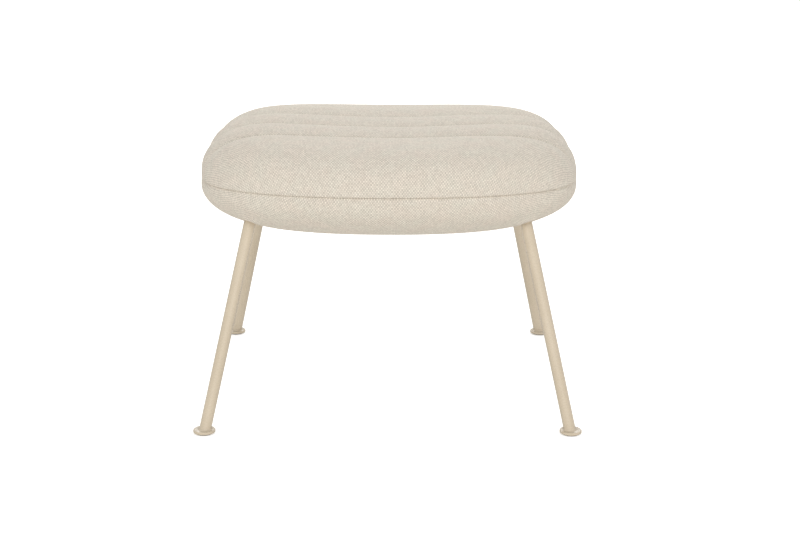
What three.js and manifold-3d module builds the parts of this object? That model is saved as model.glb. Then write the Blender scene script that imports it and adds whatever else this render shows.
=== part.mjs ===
// A low upholstered footstool: a channel-quilted cushion on a plywood board, carried by a welded
// steel frame of two bent tubes, two flat cross bars and four round foot discs. The rails and bars
// lie inside the cushion, so the straight legs come out through its underside.
// Millimetres, +Z up, X across, -Y the front. The origin is on the floor under the middle.

import * as THREE from "three";
import { mergeVertices } from "three/addons/utils/BufferGeometryUtils.js";
import Module from "manifold-3d";

const wasm = await Module();
wasm.setup();

// Fits
const touchGap = 0.3;
const cutOverrun = 20;

// Feet: how far their middles stand inside the cushion's outline, and the discs and glides
const footInsetX = 14;
const footInsetY = 13;
const discDiameter = 30;
const discThickness = 3.8;
const discChamfer = 0.9;
const glideDiameter = 25;
const glideThickness = 1.2;
const glideChamfer = 0.4;

// Bent side tubes: each is one leg, one rail and the other leg
const tubeDiameter = 16;
const tubeWall = 1.5;
const cornerInset = 6;
const bendRadius = 18;

// Flat cross bars welded between the rails, on top of the board
const barWidth = 30;
const barThickness = 5;
const barSpanY = 120;

// Seat board and its fasteners
const boardInsetX = 86.5;
const boardInsetY = 67;
const boardThickness = 15;
const screwInset = 48;
const screwDiameter = 6;
const screwLength = 25;
const headDiameter = 10.5;
const headHeight = 3.3;
const headRounding = 1.2;
const socketWidth = 4;
const socketDepth = 2;
const washerDiameter = 14;
const washerThickness = 1.6;
const nutBarrelDiameter = 8;
const nutLength = 12;
const nutFlangeDiameter = 19;
const nutFlangeThickness = 1.3;

// Cushion
const undersideHeight = 265;
const cushionWidth = 528;
const cushionDepth = 470;
const cushionThickness = 134;
const seamRise = 65;
const crownDish = 8;
const dishHalfWidth = 204;
const channelWidth = 83;
const middleSeamY = -17;
const channelDepth = 8;
const coverThickness = 5;
const hemThickness = 1.5;
const hemWidth = 30;
const dustThickness = 0.8;
const dustLapWidth = 16;
const foamClearance = 2;

// Powers of the cushion's curves: plan outline, crown and underside
const sidePower = 2.2;
const frontPower = 4.1;
const crownPower = 6.4;
const crownRoot = 1.9;
const tuckPower = 1.1;
const tuckRoot = 2.7;
const grooveFadePower = 8;
const dishPower = 1.5;

// Facets
const tubeHalfSides = 8;
const bendSteps = 8;
const roundSides = 20;
const hexSides = 6;
const columns = 24;
const endRows = 7;
const middleRows = 5;
const ringSteps = 56;
const foamSteps = 40;
const tuckRows = 6;
const crownRows = 6;

// Heights from the floor up
const discBase = glideThickness + touchGap;
const discTop = discBase + discThickness;
const dustZ = undersideHeight - touchGap - dustThickness;
const washerZ = dustZ - touchGap - washerThickness;
const headTopZ = washerZ - touchGap;
const hemTopZ = undersideHeight + hemThickness;
const boardZ = hemTopZ + touchGap;
const boardTopZ = boardZ + boardThickness;
const barZ = boardTopZ + touchGap;
const barTopZ = barZ + barThickness;
const nutTopZ = barTopZ + touchGap + nutFlangeThickness;
const seamZ = undersideHeight + seamRise;
const crownZ = undersideHeight + cushionThickness;

// Spans that follow the cushion: its board, the rails beside the board, the screws and the feet.
// The middles of the rails are level with the tops of the bars.
const boardWidth = cushionWidth - 2 * boardInsetX;
const boardDepth = cushionDepth - 2 * boardInsetY;
const railSpanX = boardWidth + tubeDiameter + 2 * touchGap;
const cornerSpanY = boardDepth - 2 * cornerInset;
const screwSpanX = boardWidth - 2 * screwInset;
const footSpanX = cushionWidth - 2 * footInsetX;
const footSpanY = cushionDepth - 2 * footInsetY;

// The hole in board and bar that holds a tee nut's barrel
const nutHoleDiameter = nutBarrelDiameter + 2 * touchGap;

// Half sizes of the cushion's plan
const halfWidth = cushionWidth / 2;
const halfDepth = cushionDepth / 2;
const flatShare = Math.max(boardWidth / cushionWidth, boardDepth / cushionDepth);
const hemShare = flatShare - hemWidth / halfWidth;
const dustWidth = cushionWidth * hemShare + 2 * dustLapWidth;
const dustDepth = cushionDepth * hemShare + 2 * dustLapWidth;
const seamYs = [-1, 0, 1].map((step) => middleSeamY + step * channelWidth);

const cornerSigns = [
  ["front_left", -1, -1],
  ["front_right", 1, -1],
  ["rear_left", -1, 1],
  ["rear_right", 1, 1],
];

const materials = {
  fabric: new THREE.MeshStandardMaterial({ color: 0xdcd3c4, roughness: 0.95 }),
  coat: new THREE.MeshStandardMaterial({ color: 0xd9cbb2, roughness: 0.45, metalness: 0.1 }),
  plywood: new THREE.MeshStandardMaterial({ color: 0xc9a878, roughness: 0.7 }),
  foam: new THREE.MeshStandardMaterial({ color: 0xf0e6cf, roughness: 0.9 }),
  felt: new THREE.MeshStandardMaterial({ color: 0x2c2c2e, roughness: 0.95 }),
  steel: new THREE.MeshStandardMaterial({ color: 0xb9bcc0, roughness: 0.35, metalness: 0.9 }),
  plastic: new THREE.MeshStandardMaterial({ color: 0x34302c, roughness: 0.55 }),
};

// A closed geometry as a solid that can be cut, and back again.
function toSolid(geometry) {
  const bare = geometry.clone();
  bare.deleteAttribute("normal");
  bare.deleteAttribute("uv");
  const merged = mergeVertices(bare);
  return new wasm.Manifold(
    new wasm.Mesh({
      numProp: 3,
      vertProperties: merged.attributes.position.array,
      triVerts: new Uint32Array(merged.index.array),
    }),
  );
}

function toGeometry(solid) {
  const mesh = solid.getMesh();
  const geometry = new THREE.BufferGeometry();
  geometry.setAttribute("position", new THREE.BufferAttribute(mesh.vertProperties, 3));
  geometry.setIndex(new THREE.BufferAttribute(mesh.triVerts, 1));
  geometry.computeVertexNormals();
  return geometry;
}

function cut(geometry, cutters) {
  const start = toSolid(geometry);
  return toGeometry(cutters.reduce((solid, cutter) => solid.subtract(toSolid(cutter)), start));
}

// A turned piece, upright on the Z axis, from points of radius and height.
function turned(points, sides = roundSides) {
  const profile = points.map(([radius, height]) => new THREE.Vector2(radius, height));
  return new THREE.LatheGeometry(profile, sides).rotateX(Math.PI / 2);
}

function standingCylinder(diameter, bottom, top, sides = roundSides) {
  const geometry = new THREE.CylinderGeometry(diameter / 2, diameter / 2, top - bottom, sides);
  return geometry.rotateX(Math.PI / 2).translate(0, 0, (bottom + top) / 2);
}

function plate(shape, thickness, bottom) {
  const options = { depth: thickness, bevelEnabled: false, curveSegments: roundSides / 2 };
  return new THREE.ExtrudeGeometry(shape, options).translate(0, 0, bottom);
}

function roundHole(x, y, diameter) {
  return new THREE.Path().absarc(x, y, diameter / 2, 0, 2 * Math.PI, true);
}

// The plan outline is one superellipse: bowed front and back edges, flatter sides, round corners.
function outlinePoint(angle, width = cushionWidth, depth = cushionDepth) {
  const across = Math.cos(angle);
  const along = Math.sin(angle);
  const x = (width / 2) * Math.sign(across) * Math.abs(across) ** (2 / sidePower);
  const y = (depth / 2) * Math.sign(along) * Math.abs(along) ** (2 / frontPower);
  return [x, y];
}

function outlineShape(width, depth, steps) {
  const points = [];
  for (let i = 0; i < steps; i += 1) {
    points.push(new THREE.Vector2(...outlinePoint((2 * Math.PI * i) / steps, width, depth)));
  }
  return new THREE.Shape(points);
}

function halfWidthAt(y) {
  return halfWidth * (1 - Math.abs(y / halfDepth) ** frontPower) ** (1 / sidePower);
}

// How far out a plan point lies: 0 in the middle, 1 on the outline.
function reachShare(x, y) {
  let inside = 0;
  let outside = 2;
  for (let i = 0; i < 40; i += 1) {
    const middle = (inside + outside) / 2;
    const across = Math.abs(x / (halfWidth * middle)) ** sidePower;
    const along = Math.abs(y / (halfDepth * middle)) ** frontPower;
    if (across + along > 1) inside = middle;
    else outside = middle;
  }
  return Math.min(outside, 1);
}

// How deep a point lies in the groove of the nearest channel seam: 1 on the seam, 0 on the crown.
function grooveShare(y) {
  const nearest = Math.min(...seamYs.map((seamY) => Math.abs(y - seamY)));
  return (1 - Math.min(nearest / (channelWidth / 2), 1)) ** 2;
}

// A point of the crown above a plan point: inset and drop move it inwards for an inner layer.
function crownPoint(x, y, { inset, drop, groove }) {
  const reach = reachShare(x, y);
  const edgeZ = seamZ + touchGap / 2;
  const dish = crownDish * Math.max(1 - (x / dishHalfWidth) ** 2, 0) ** dishPower;
  const rise = (1 - reach ** crownPower) ** (1 / crownRoot);
  const dip = (dish + groove * grooveShare(y)) * (1 - reach ** grooveFadePower);
  const shrink = 1 - inset / halfWidth;
  return [x * shrink, y * shrink, edgeZ + (crownZ - drop - edgeZ) * rise - dip];
}

// A point of the tucked-under lower side, at a share of the way out to an outline point.
function tuckPoint(x, y, share, { inset, bottom }) {
  const edgeZ = seamZ - touchGap / 2;
  const climb = Math.max((share - flatShare) / (1 - flatShare), 0);
  const fall = (1 - climb ** tuckPower) ** (1 / tuckRoot);
  const shrink = share * (1 - (inset * climb) / halfWidth);
  return [x * shrink, y * shrink, edgeZ - (edgeZ - bottom) * fall];
}

// Shares from 0 to 1 that crowd towards 1, where the surface turns down.
function crowdedShares(count) {
  return Array.from({ length: count + 1 }, (_, i) => Math.sin((Math.PI / 2) * (i / count)));
}

// Collects triangles and leaves out those that a shared corner has closed up.
class Facets {
  constructor() {
    this.values = [];
  }

  triangle(a, b, c) {
    const same = (p, q) => p.every((value, i) => Math.abs(value - q[i]) < touchGap / 100);
    if (same(a, b) || same(b, c) || same(c, a)) return;
    this.values.push(...a, ...b, ...c);
  }

  quad(a, b, c, d) {
    this.triangle(a, b, c);
    this.triangle(a, c, d);
  }

  grid(rows) {
    for (let i = 0; i + 1 < rows.length; i += 1) {
      for (let j = 0; j + 1 < rows[i].length; j += 1) {
        this.quad(rows[i][j], rows[i][j + 1], rows[i + 1][j + 1], rows[i + 1][j]);
      }
    }
  }

  geometry() {
    const geometry = new THREE.BufferGeometry();
    geometry.setAttribute("position", new THREE.Float32BufferAttribute(this.values, 3));
    const merged = mergeVertices(geometry);
    merged.computeVertexNormals();
    return merged;
  }
}

// A closed pad between two surfaces over the same plan grid. Rows run from front to back.
function padBetween(planRows, outer, inner) {
  const tops = planRows.map((row) => row.map(([x, y]) => crownPoint(x, y, outer)));
  const bottoms = planRows.map((row) => row.map(([x, y]) => crownPoint(x, y, inner)));
  const last = columns;
  const facets = new Facets();
  facets.grid(tops);
  facets.grid([...bottoms].reverse());
  facets.grid([bottoms[0], tops[0]]);
  facets.grid([tops.at(-1), bottoms.at(-1)]);
  facets.grid([tops.map((row) => row[0]), bottoms.map((row) => row[0])]);
  facets.grid([bottoms.map((row) => row[last]), tops.map((row) => row[last])]);
  return facets.geometry();
}

// Places across a channel from its left end to its right end, crowded towards both ends.
function seamRow(y) {
  const reach = halfWidthAt(y);
  return Array.from({ length: columns + 1 }, (_, i) => [
    reach * Math.sin((Math.PI / 2) * ((2 * i) / columns - 1)),
    y,
  ]);
}

function middleChannelRows(frontY, rearY) {
  const rows = [];
  for (let i = 0; i <= middleRows; i += 1) {
    rows.push(seamRow(frontY + ((rearY - frontY) * i) / middleRows));
  }
  return rows;
}

// The front and rear channels end in the curved outline. side is -1 for the front, 1 for the rear.
function endChannelRows(seamY, side) {
  const seam = seamRow(seamY);
  const start = Math.asin(Math.abs(seamY / halfDepth) ** (frontPower / 2)) * Math.sign(side * seamY);
  const arc = seam.map((_, i) => {
    const angle = Math.PI - start - ((Math.PI - 2 * start) * i) / columns;
    const [x, y] = outlinePoint(angle);
    return [x, side * y];
  });
  const rows = crowdedShares(endRows).map((share) =>
    seam.map(([x, y], i) => [x + (arc[i][0] - x) * share, y + (arc[i][1] - y) * share]),
  );
  return side < 0 ? rows.reverse() : rows;
}

function channelCovers() {
  const outer = { inset: 0, drop: 0, groove: channelDepth };
  const inner = { inset: coverThickness, drop: coverThickness + channelDepth, groove: 0 };
  const half = touchGap / 2;
  const [frontSeam, middleSeam, rearSeam] = seamYs;
  return [
    ["cover_channel_front", endChannelRows(frontSeam - half, -1)],
    ["cover_channel_front_middle", middleChannelRows(frontSeam + half, middleSeam - half)],
    ["cover_channel_rear_middle", middleChannelRows(middleSeam + half, rearSeam - half)],
    ["cover_channel_rear", endChannelRows(rearSeam + half, 1)],
  ].map(([name, rows]) => [name, padBetween(rows, outer, inner)]);
}

// A closed skin swept round the outline, from a list of rings that ends where it started.
function sweptRings(rings) {
  const facets = new Facets();
  facets.grid([...rings, rings[0]]);
  return facets.geometry();
}

function outlineRing(steps, place) {
  return Array.from({ length: steps + 1 }, (_, i) => {
    const [x, y] = outlinePoint((2 * Math.PI * (i % steps)) / steps);
    return place(x, y);
  });
}

function tuckShares() {
  const climbs = crowdedShares(tuckRows);
  return [hemShare, ...climbs.map((climb) => flatShare + (1 - flatShare) * climb)];
}

// The lower cover hangs from the perimeter seam, tucks in and ends in a thin hem under the board.
function lowerCover() {
  const outer = { inset: 0, bottom: undersideHeight };
  const inner = { inset: coverThickness, bottom: hemTopZ };
  const shares = tuckShares();
  const skin = (layer) => (share) => outlineRing(ringSteps, (x, y) => tuckPoint(x, y, share, layer));
  const cover = sweptRings([...shares.map(skin(outer)), ...[...shares].reverse().map(skin(inner))]);
  return cut(cover, frameHollows());
}

// The hollows that the two bent tubes need in the soft parts.
function frameHollows() {
  return [-1, 1].map((side) => bentTube(side, tubeDiameter + 2 * touchGap));
}

// The moulded foam fills the covers, sits on the board and the frame and wraps the board's edge.
function foamCore() {
  const inset = coverThickness + foamClearance;
  const crown = { inset, drop: inset + channelDepth, groove: 0 };
  const tuck = { inset, bottom: boardZ };
  const crownShares = crowdedShares(crownRows).slice(1);
  const lowShares = tuckShares().slice(1);
  const upper = crownShares.map((share) =>
    outlineRing(foamSteps, (x, y) => crownPoint(x * share, y * share, crown)),
  );
  const lower = lowShares.map((share) =>
    outlineRing(foamSteps, (x, y) => tuckPoint(x, y, share, tuck)),
  );
  const centreTop = outlineRing(foamSteps, () => crownPoint(0, 0, crown));
  const centreBottom = outlineRing(foamSteps, () => [0, 0, boardZ]);
  const facets = new Facets();
  facets.grid([centreBottom, ...lower, ...upper.reverse(), centreTop]);
  const pocketWidth = boardWidth + 2 * foamClearance;
  const pocketDepth = boardDepth + 2 * foamClearance;
  const pocketHeight = boardThickness + touchGap + cutOverrun;
  const pocket = outlineShape(pocketWidth, pocketDepth, foamSteps);
  const hollows = [plate(pocket, pocketHeight, boardZ - cutOverrun), ...frameHollows()];
  const slotHeight = 2 * (barThickness + touchGap);
  [-1, 1].forEach((side) => {
    const slot = new THREE.BoxGeometry(railSpanX, barWidth + 2 * foamClearance, slotHeight);
    hollows.push(slot.translate(0, (side * barSpanY) / 2, barTopZ + touchGap - slotHeight / 2));
  });
  const dimple = nutFlangeDiameter + 2 * foamClearance;
  screwPlaces().forEach(([, x, y]) => {
    hollows.push(standingCylinder(dimple, boardTopZ, nutTopZ + touchGap).translate(x, y, 0));
  });
  return cut(facets.geometry(), hollows);
}

function screwPlaces() {
  return cornerSigns.map(([name, sx, sy]) => [name, (sx * screwSpanX) / 2, (sy * barSpanY) / 2]);
}

function seatBoard() {
  const shape = outlineShape(boardWidth, boardDepth, ringSteps);
  screwPlaces().forEach(([, x, y]) => shape.holes.push(roundHole(x, y, nutHoleDiameter)));
  return plate(shape, boardThickness, boardZ);
}

function dustCover() {
  const shape = outlineShape(dustWidth, dustDepth, ringSteps);
  screwPlaces().forEach(([, x, y]) => shape.holes.push(roundHole(x, y, nutHoleDiameter)));
  return plate(shape, dustThickness, dustZ);
}

// Points and directions round one bend, from the straight before it to the straight after it.
function bendStations(before, corner, after) {
  const back = before.clone().sub(corner).normalize();
  const onward = after.clone().sub(corner).normalize();
  const halfAngle = back.angleTo(onward) / 2;
  const axis = onward.clone().cross(back).normalize();
  const turn = Math.PI - 2 * halfAngle;
  const start = corner.clone().addScaledVector(back, bendRadius / Math.tan(halfAngle));
  const middle = back.clone().add(onward).normalize();
  const centre = corner.clone().addScaledVector(middle, bendRadius / Math.sin(halfAngle));
  return Array.from({ length: bendSteps + 1 }, (_, i) => {
    const angle = (turn * i) / bendSteps;
    const arm = start.clone().sub(centre).applyAxisAngle(axis, angle);
    return {
      point: centre.clone().add(arm),
      direction: back.clone().negate().applyAxisAngle(axis, angle),
    };
  });
}

// A path through set stations, so that the straights take one step and the bends take several.
class TubePath extends THREE.Curve {
  constructor(stations) {
    super();
    this.stations = stations;
  }

  station(share) {
    return this.stations[Math.round(share * (this.stations.length - 1))];
  }

  getPointAt(share) {
    return this.station(share).point.clone();
  }

  getTangentAt(share) {
    return this.station(share).direction.clone();
  }
}

// One tube bent into an inverted U that leans out sideways, or the hollow that it needs.
function bentTube(side, diameter, hole = 0) {
  const corner = (y) => new THREE.Vector3((side * railSpanX) / 2, y, barTopZ);
  const foot = (y) => new THREE.Vector3((side * footSpanX) / 2, y, 0);
  const frontCorner = corner(-cornerSpanY / 2);
  const rearCorner = corner(cornerSpanY / 2);
  const beyond = (from, to) => {
    const direction = to.clone().sub(from).normalize();
    return to.clone().addScaledVector(direction, cutOverrun);
  };
  const frontEnd = beyond(frontCorner, foot(-footSpanY / 2));
  const rearEnd = beyond(rearCorner, foot(footSpanY / 2));
  const stations = [
    ...bendStations(frontEnd, frontCorner, rearCorner),
    ...bendStations(frontCorner, rearCorner, rearEnd),
  ];
  stations.unshift({ point: frontEnd, direction: stations[0].direction });
  stations.push({ point: rearEnd, direction: stations.at(-1).direction });
  const section = new THREE.Shape().absarc(0, 0, diameter / 2, 0, 2 * Math.PI, false);
  if (hole > 0) section.holes.push(roundHole(0, 0, hole));
  return new THREE.ExtrudeGeometry(section, {
    steps: stations.length - 1,
    extrudePath: new TubePath(stations),
    curveSegments: tubeHalfSides,
  });
}

// The tube itself. Its ends are mitred to the discs.
function sideFrame(side) {
  const tube = bentTube(side, tubeDiameter, tubeDiameter - 2 * tubeWall);
  const floorTop = discTop + touchGap;
  const floor = new THREE.BoxGeometry(footSpanX, 2 * footSpanY, 2 * cutOverrun + floorTop);
  floor.translate((side * footSpanX) / 2, 0, floorTop - (2 * cutOverrun + floorTop) / 2);
  return cut(tube, [floor]);
}

// A flat bar whose ends are coped to the rails that it is welded to.
function crossBar() {
  const shape = new THREE.Shape();
  shape.moveTo(-railSpanX / 2, -barWidth / 2);
  shape.lineTo(railSpanX / 2, -barWidth / 2);
  shape.lineTo(railSpanX / 2, barWidth / 2);
  shape.lineTo(-railSpanX / 2, barWidth / 2);
  shape.holes.push(roundHole(-screwSpanX / 2, 0, nutHoleDiameter));
  shape.holes.push(roundHole(screwSpanX / 2, 0, nutHoleDiameter));
  const radius = tubeDiameter / 2 + touchGap;
  const length = barWidth + 2 * cutOverrun;
  const rails = [-1, 1].map((side) => {
    const rail = new THREE.CylinderGeometry(radius, radius, length, 4 * tubeHalfSides);
    return rail.translate((side * railSpanX) / 2, 0, barThickness);
  });
  return cut(plate(shape, barThickness, 0), rails);
}

function footDisc() {
  const radius = discDiameter / 2;
  return turned([
    [0, 0],
    [radius - discChamfer / 2, 0],
    [radius, discChamfer / 2],
    [radius, discThickness - discChamfer],
    [radius - discChamfer, discThickness],
    [0, discThickness],
  ]);
}

function footGlide() {
  const radius = glideDiameter / 2;
  return turned([
    [0, 0],
    [radius - glideChamfer, 0],
    [radius, glideChamfer],
    [radius, glideThickness],
    [0, glideThickness],
  ]);
}

// A button-head screw, head down, with its hexagon socket open below.
function seatScrew() {
  const headRadius = headDiameter / 2;
  const shankRadius = screwDiameter / 2;
  const tipChamfer = shankRadius / 4;
  const body = turned([
    [0, -headHeight],
    [headRadius - 2 * headRounding, -headHeight],
    [headRadius - headRounding / 2, headRounding - headHeight],
    [headRadius, 2 * headRounding - headHeight],
    [headRadius, 0],
    [shankRadius, 0],
    [shankRadius, screwLength - tipChamfer],
    [shankRadius - tipChamfer, screwLength],
    [0, screwLength],
  ]);
  const socketDiameter = socketWidth / Math.cos(Math.PI / hexSides);
  const socketBottom = -headHeight - cutOverrun;
  const socketTop = socketDepth - headHeight;
  return cut(body, [standingCylinder(socketDiameter, socketBottom, socketTop, hexSides)]);
}

function washer() {
  const inside = screwDiameter / 2 + touchGap;
  const outside = washerDiameter / 2;
  return turned([
    [inside, 0],
    [outside, 0],
    [outside, washerThickness],
    [inside, washerThickness],
    [inside, 0],
  ]);
}

// A tee nut hangs in bar and board from its flange, which lies on the bar. Its top is at height zero.
function teeNut() {
  const inside = screwDiameter / 2 + touchGap;
  const barrel = nutBarrelDiameter / 2;
  const flange = nutFlangeDiameter / 2;
  return turned([
    [inside, -nutLength],
    [barrel, -nutLength],
    [barrel, -nutFlangeThickness],
    [flange, -nutFlangeThickness],
    [flange, 0],
    [inside, 0],
    [inside, -nutLength],
  ]);
}

function addMesh(group, name, geometry, material, place = [0, 0, 0]) {
  const mesh = new THREE.Mesh(geometry, material);
  mesh.name = name;
  mesh.position.set(...place);
  group.add(mesh);
}

function steelFrame() {
  const group = new THREE.Group();
  addMesh(group, "side_frame_left", sideFrame(-1), materials.coat);
  addMesh(group, "side_frame_right", sideFrame(1), materials.coat);
  addMesh(group, "cross_bar_front", crossBar(), materials.coat, [0, -barSpanY / 2, barZ]);
  addMesh(group, "cross_bar_rear", crossBar(), materials.coat, [0, barSpanY / 2, barZ]);
  return group;
}

function feet() {
  const group = new THREE.Group();
  cornerSigns.forEach(([name, sx, sy]) => {
    const foot = new THREE.Group();
    foot.position.set((sx * footSpanX) / 2, (sy * footSpanY) / 2, 0);
    addMesh(foot, `foot_disc_${name}`, footDisc(), materials.coat, [0, 0, discBase]);
    addMesh(foot, `foot_glide_${name}`, footGlide(), materials.plastic);
    group.add(foot);
  });
  return group;
}

function fasteners() {
  const group = new THREE.Group();
  screwPlaces().forEach(([name, x, y]) => {
    const column = new THREE.Group();
    column.position.set(x, y, 0);
    addMesh(column, `seat_screw_${name}`, seatScrew(), materials.steel, [0, 0, headTopZ]);
    addMesh(column, `washer_${name}`, washer(), materials.steel, [0, 0, washerZ]);
    addMesh(column, `tee_nut_${name}`, teeNut(), materials.steel, [0, 0, nutTopZ]);
    group.add(column);
  });
  return group;
}

function cushion() {
  const group = new THREE.Group();
  addMesh(group, "seat_board", seatBoard(), materials.plywood);
  addMesh(group, "foam_core", foamCore(), materials.foam);
  channelCovers().forEach(([name, geometry]) => addMesh(group, name, geometry, materials.fabric));
  addMesh(group, "cover_lower_band", lowerCover(), materials.fabric);
  addMesh(group, "dust_cover", dustCover(), materials.felt);
  return group;
}

const footstool = new THREE.Group();
footstool.add(steelFrame(), feet(), fasteners(), cushion());

export default footstool;
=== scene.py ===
# %% [markdown]
# # A channel-quilted footstool
#
# The footstool is a padded cushion on a plywood board, screwed to a frame of bent steel tube. The
# frame that was packed from the CAD source gives its sizes. This script dresses it: it sews the covers
# in mesh code, welds and coats the tubes, and lights the footstool like a product photograph.

import math

import bmesh
import bpy
import numpy as np
from mathutils import Matrix, Vector, noise


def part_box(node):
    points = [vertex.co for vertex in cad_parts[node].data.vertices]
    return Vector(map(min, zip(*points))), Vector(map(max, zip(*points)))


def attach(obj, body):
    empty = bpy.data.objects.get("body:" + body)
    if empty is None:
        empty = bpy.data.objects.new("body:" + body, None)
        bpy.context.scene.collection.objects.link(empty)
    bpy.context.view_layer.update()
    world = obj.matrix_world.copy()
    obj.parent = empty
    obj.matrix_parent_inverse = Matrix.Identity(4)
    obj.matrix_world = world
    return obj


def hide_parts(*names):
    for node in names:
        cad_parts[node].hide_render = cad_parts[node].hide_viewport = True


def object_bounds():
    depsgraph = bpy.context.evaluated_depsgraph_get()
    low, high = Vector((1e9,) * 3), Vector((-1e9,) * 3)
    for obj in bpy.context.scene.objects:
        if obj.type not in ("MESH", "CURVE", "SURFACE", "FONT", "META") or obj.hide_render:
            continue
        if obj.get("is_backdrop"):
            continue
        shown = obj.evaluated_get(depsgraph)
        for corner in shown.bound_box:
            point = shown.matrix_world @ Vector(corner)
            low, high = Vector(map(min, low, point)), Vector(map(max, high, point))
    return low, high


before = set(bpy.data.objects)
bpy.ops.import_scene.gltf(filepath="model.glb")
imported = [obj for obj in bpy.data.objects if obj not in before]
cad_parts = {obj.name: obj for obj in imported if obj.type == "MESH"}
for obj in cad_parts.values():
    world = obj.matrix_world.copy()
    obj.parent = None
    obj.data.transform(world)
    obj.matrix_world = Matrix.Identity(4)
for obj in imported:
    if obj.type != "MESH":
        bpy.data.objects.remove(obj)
cad_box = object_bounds()
print("CAD box", [round(value, 4) for corner in cad_box for value in corner])


def add_object(name, data):
    made = bpy.data.objects.new(name, data)
    bpy.context.scene.collection.objects.link(made)
    return made


# %% [markdown]
# ## The camera
#
# The photograph was taken from straight in front with a long lens, a little above the seat. A camera
# could be aimed with a Track To constraint. Here its axes are built from three small angles, because
# the photograph is also turned by a quarter of a degree, and a constraint can't hold that.

# %% The camera
lens_mm = 67.5
sensor_mm = 36
camera_distance = 2.1366
camera_height = 0.7633
look_down = math.radians(15.4078)
look_right = math.radians(0.475)
camera_tilt = math.radians(0.2618)


def place_camera():
    """A camera whose right, up and backward axes are worked out from the three angles."""
    level_right = Vector((math.cos(look_right), -math.sin(look_right), 0))
    ahead = Vector((math.sin(look_right), math.cos(look_right), 0)) * math.cos(look_down)
    ahead.z = -math.sin(look_down)
    level_up = level_right.cross(ahead)
    right = level_right * math.cos(camera_tilt) + level_up * math.sin(camera_tilt)
    up = level_up * math.cos(camera_tilt) - level_right * math.sin(camera_tilt)
    data = bpy.data.cameras.new("camera")
    data.lens = lens_mm
    data.sensor_width = sensor_mm
    camera = add_object("camera", data)
    axes = Matrix((right, up, -ahead)).transposed().to_4x4()
    camera.matrix_world = Matrix.Translation((0, -camera_distance, camera_height)) @ axes
    return camera


bpy.context.scene.camera = place_camera()
print("camera", [round(value, 3) for value in bpy.context.scene.camera.location])

# %% [markdown]
# ## A small node builder
#
# Materials are graphs of nodes. They can be drawn by hand in the shader editor, but a lesson that runs
# builds them in code. This class adds nodes and links them, so that each graph reads like its formula.


# %% A small node builder
class Graph:
    """Adds nodes to one tree and links them. Values may be numbers or sockets."""

    def __init__(self, tree):
        self.tree = tree

    def feed(self, socket, value):
        if isinstance(value, bpy.types.NodeSocket):
            self.tree.links.new(value, socket)
        else:
            socket.default_value = value

    def node(self, kind, inputs=None, **settings):
        made = self.tree.nodes.new(kind)
        for name, value in settings.items():
            setattr(made, name, value)
        for key, value in (inputs or {}).items():
            self.feed(made.inputs[key], value)
        return made

    def math(self, operation, *values):
        return self.node("ShaderNodeMath", dict(enumerate(values)), operation=operation).outputs[0]

    def blend(self, share, first, second):
        """A number between two others."""
        return self.node("ShaderNodeMix", {0: share, 2: first, 3: second}, data_type="FLOAT").outputs[0]

    def colour(self, share, first, second, kind="MIX"):
        """A colour between two others, or one colour times another."""
        inputs = {0: share, 6: first, 7: second}
        return self.node("ShaderNodeMix", inputs, data_type="RGBA", blend_type=kind).outputs[2]

    def spread(self, *values):
        """A value from one range spread over another: value, low, high, new low, new high."""
        return self.node("ShaderNodeMapRange", dict(enumerate(values))).outputs[0]

    def stretch(self, value, reach, new_low=0, new_high=1):
        """Noise lies close round a half. This stretches what lies within reach of it over a range."""
        return self.spread(value, 0.5 - reach, 0.5 + reach, new_low, new_high)

    def join(self, x, y, z=0.0):
        return self.node("ShaderNodeCombineXYZ", {0: x, 1: y, 2: z}).outputs[0]

    def noise(self, place, scale, detail=2.0, roughness=0.5):
        inputs = {"Vector": place, "Scale": scale, "Detail": detail, "Roughness": roughness}
        return self.node("ShaderNodeTexNoise", inputs).outputs[0]

    def place(self):
        return self.node("ShaderNodeTexCoord").outputs["Object"]


print("node helpers", [name for name in vars(Graph) if not name.startswith("_")])


# %% A new material
def new_material(name, **sockets):
    """A Principled material, and the graph to add to it. Values that never vary sit on the shader."""
    material = bpy.data.materials.new(name)
    material.use_nodes = True
    graph = Graph(material.node_tree)
    shader = material.node_tree.nodes["Principled BSDF"]
    for key, value in sockets.items():
        shader.inputs[key.replace("_", " ")].default_value = value
    return material, graph, shader


# %% [markdown]
# ## Floor and light
#
# The photograph is a studio shot on white. The floor is one wide pale plane, so that it fills the
# picture and throws soft light up under the seat. Most of the light is an even white sky, as in a tent
# of white cloth. A low wide soft box and a high one stand in front, and a stronger one stands behind,
# whose low light brings out the channels. A photographer lights such a sweep of paper by itself until
# it is white. Here paper and sky glow a little, but only to the camera's own rays, so that the glow
# doesn't light the footstool. The floor lets the view through from below, so that the underside can be
# looked at.

# %% The floor
floor_half = 30.0
floor_colour = (0.94, 0.93, 0.905, 1)
glow_colour = (0.93, 0.93, 0.93, 1)
camera_glow = 0.50


def make_floor():
    mesh = bpy.data.meshes.new("floor")
    corners = [(-1, -1), (1, -1), (1, 1), (-1, 1)]
    mesh.from_pydata([(x * floor_half, y * floor_half, 0) for x, y in corners], [], [(0, 1, 2, 3)])
    material, g, paper = new_material("floor_paper", Base_Color=floor_colour, Roughness=1)
    g.feed(paper.inputs["Specular IOR Level"], 0)
    g.feed(paper.inputs["Emission Color"], glow_colour)
    seen = g.node("ShaderNodeLightPath").outputs["Is Camera Ray"]
    g.feed(paper.inputs["Emission Strength"], g.math("MULTIPLY", seen, camera_glow))
    clear = g.node("ShaderNodeBsdfTransparent").outputs[0]
    below = g.node("ShaderNodeNewGeometry").outputs["Backfacing"]
    mix = g.node("ShaderNodeMixShader", {0: below, 1: paper.outputs[0], 2: clear}).outputs[0]
    g.feed(material.node_tree.nodes["Material Output"].inputs["Surface"], mix)
    mesh.materials.append(material)
    add_object("floor", mesh)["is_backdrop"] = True


make_floor()
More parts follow.
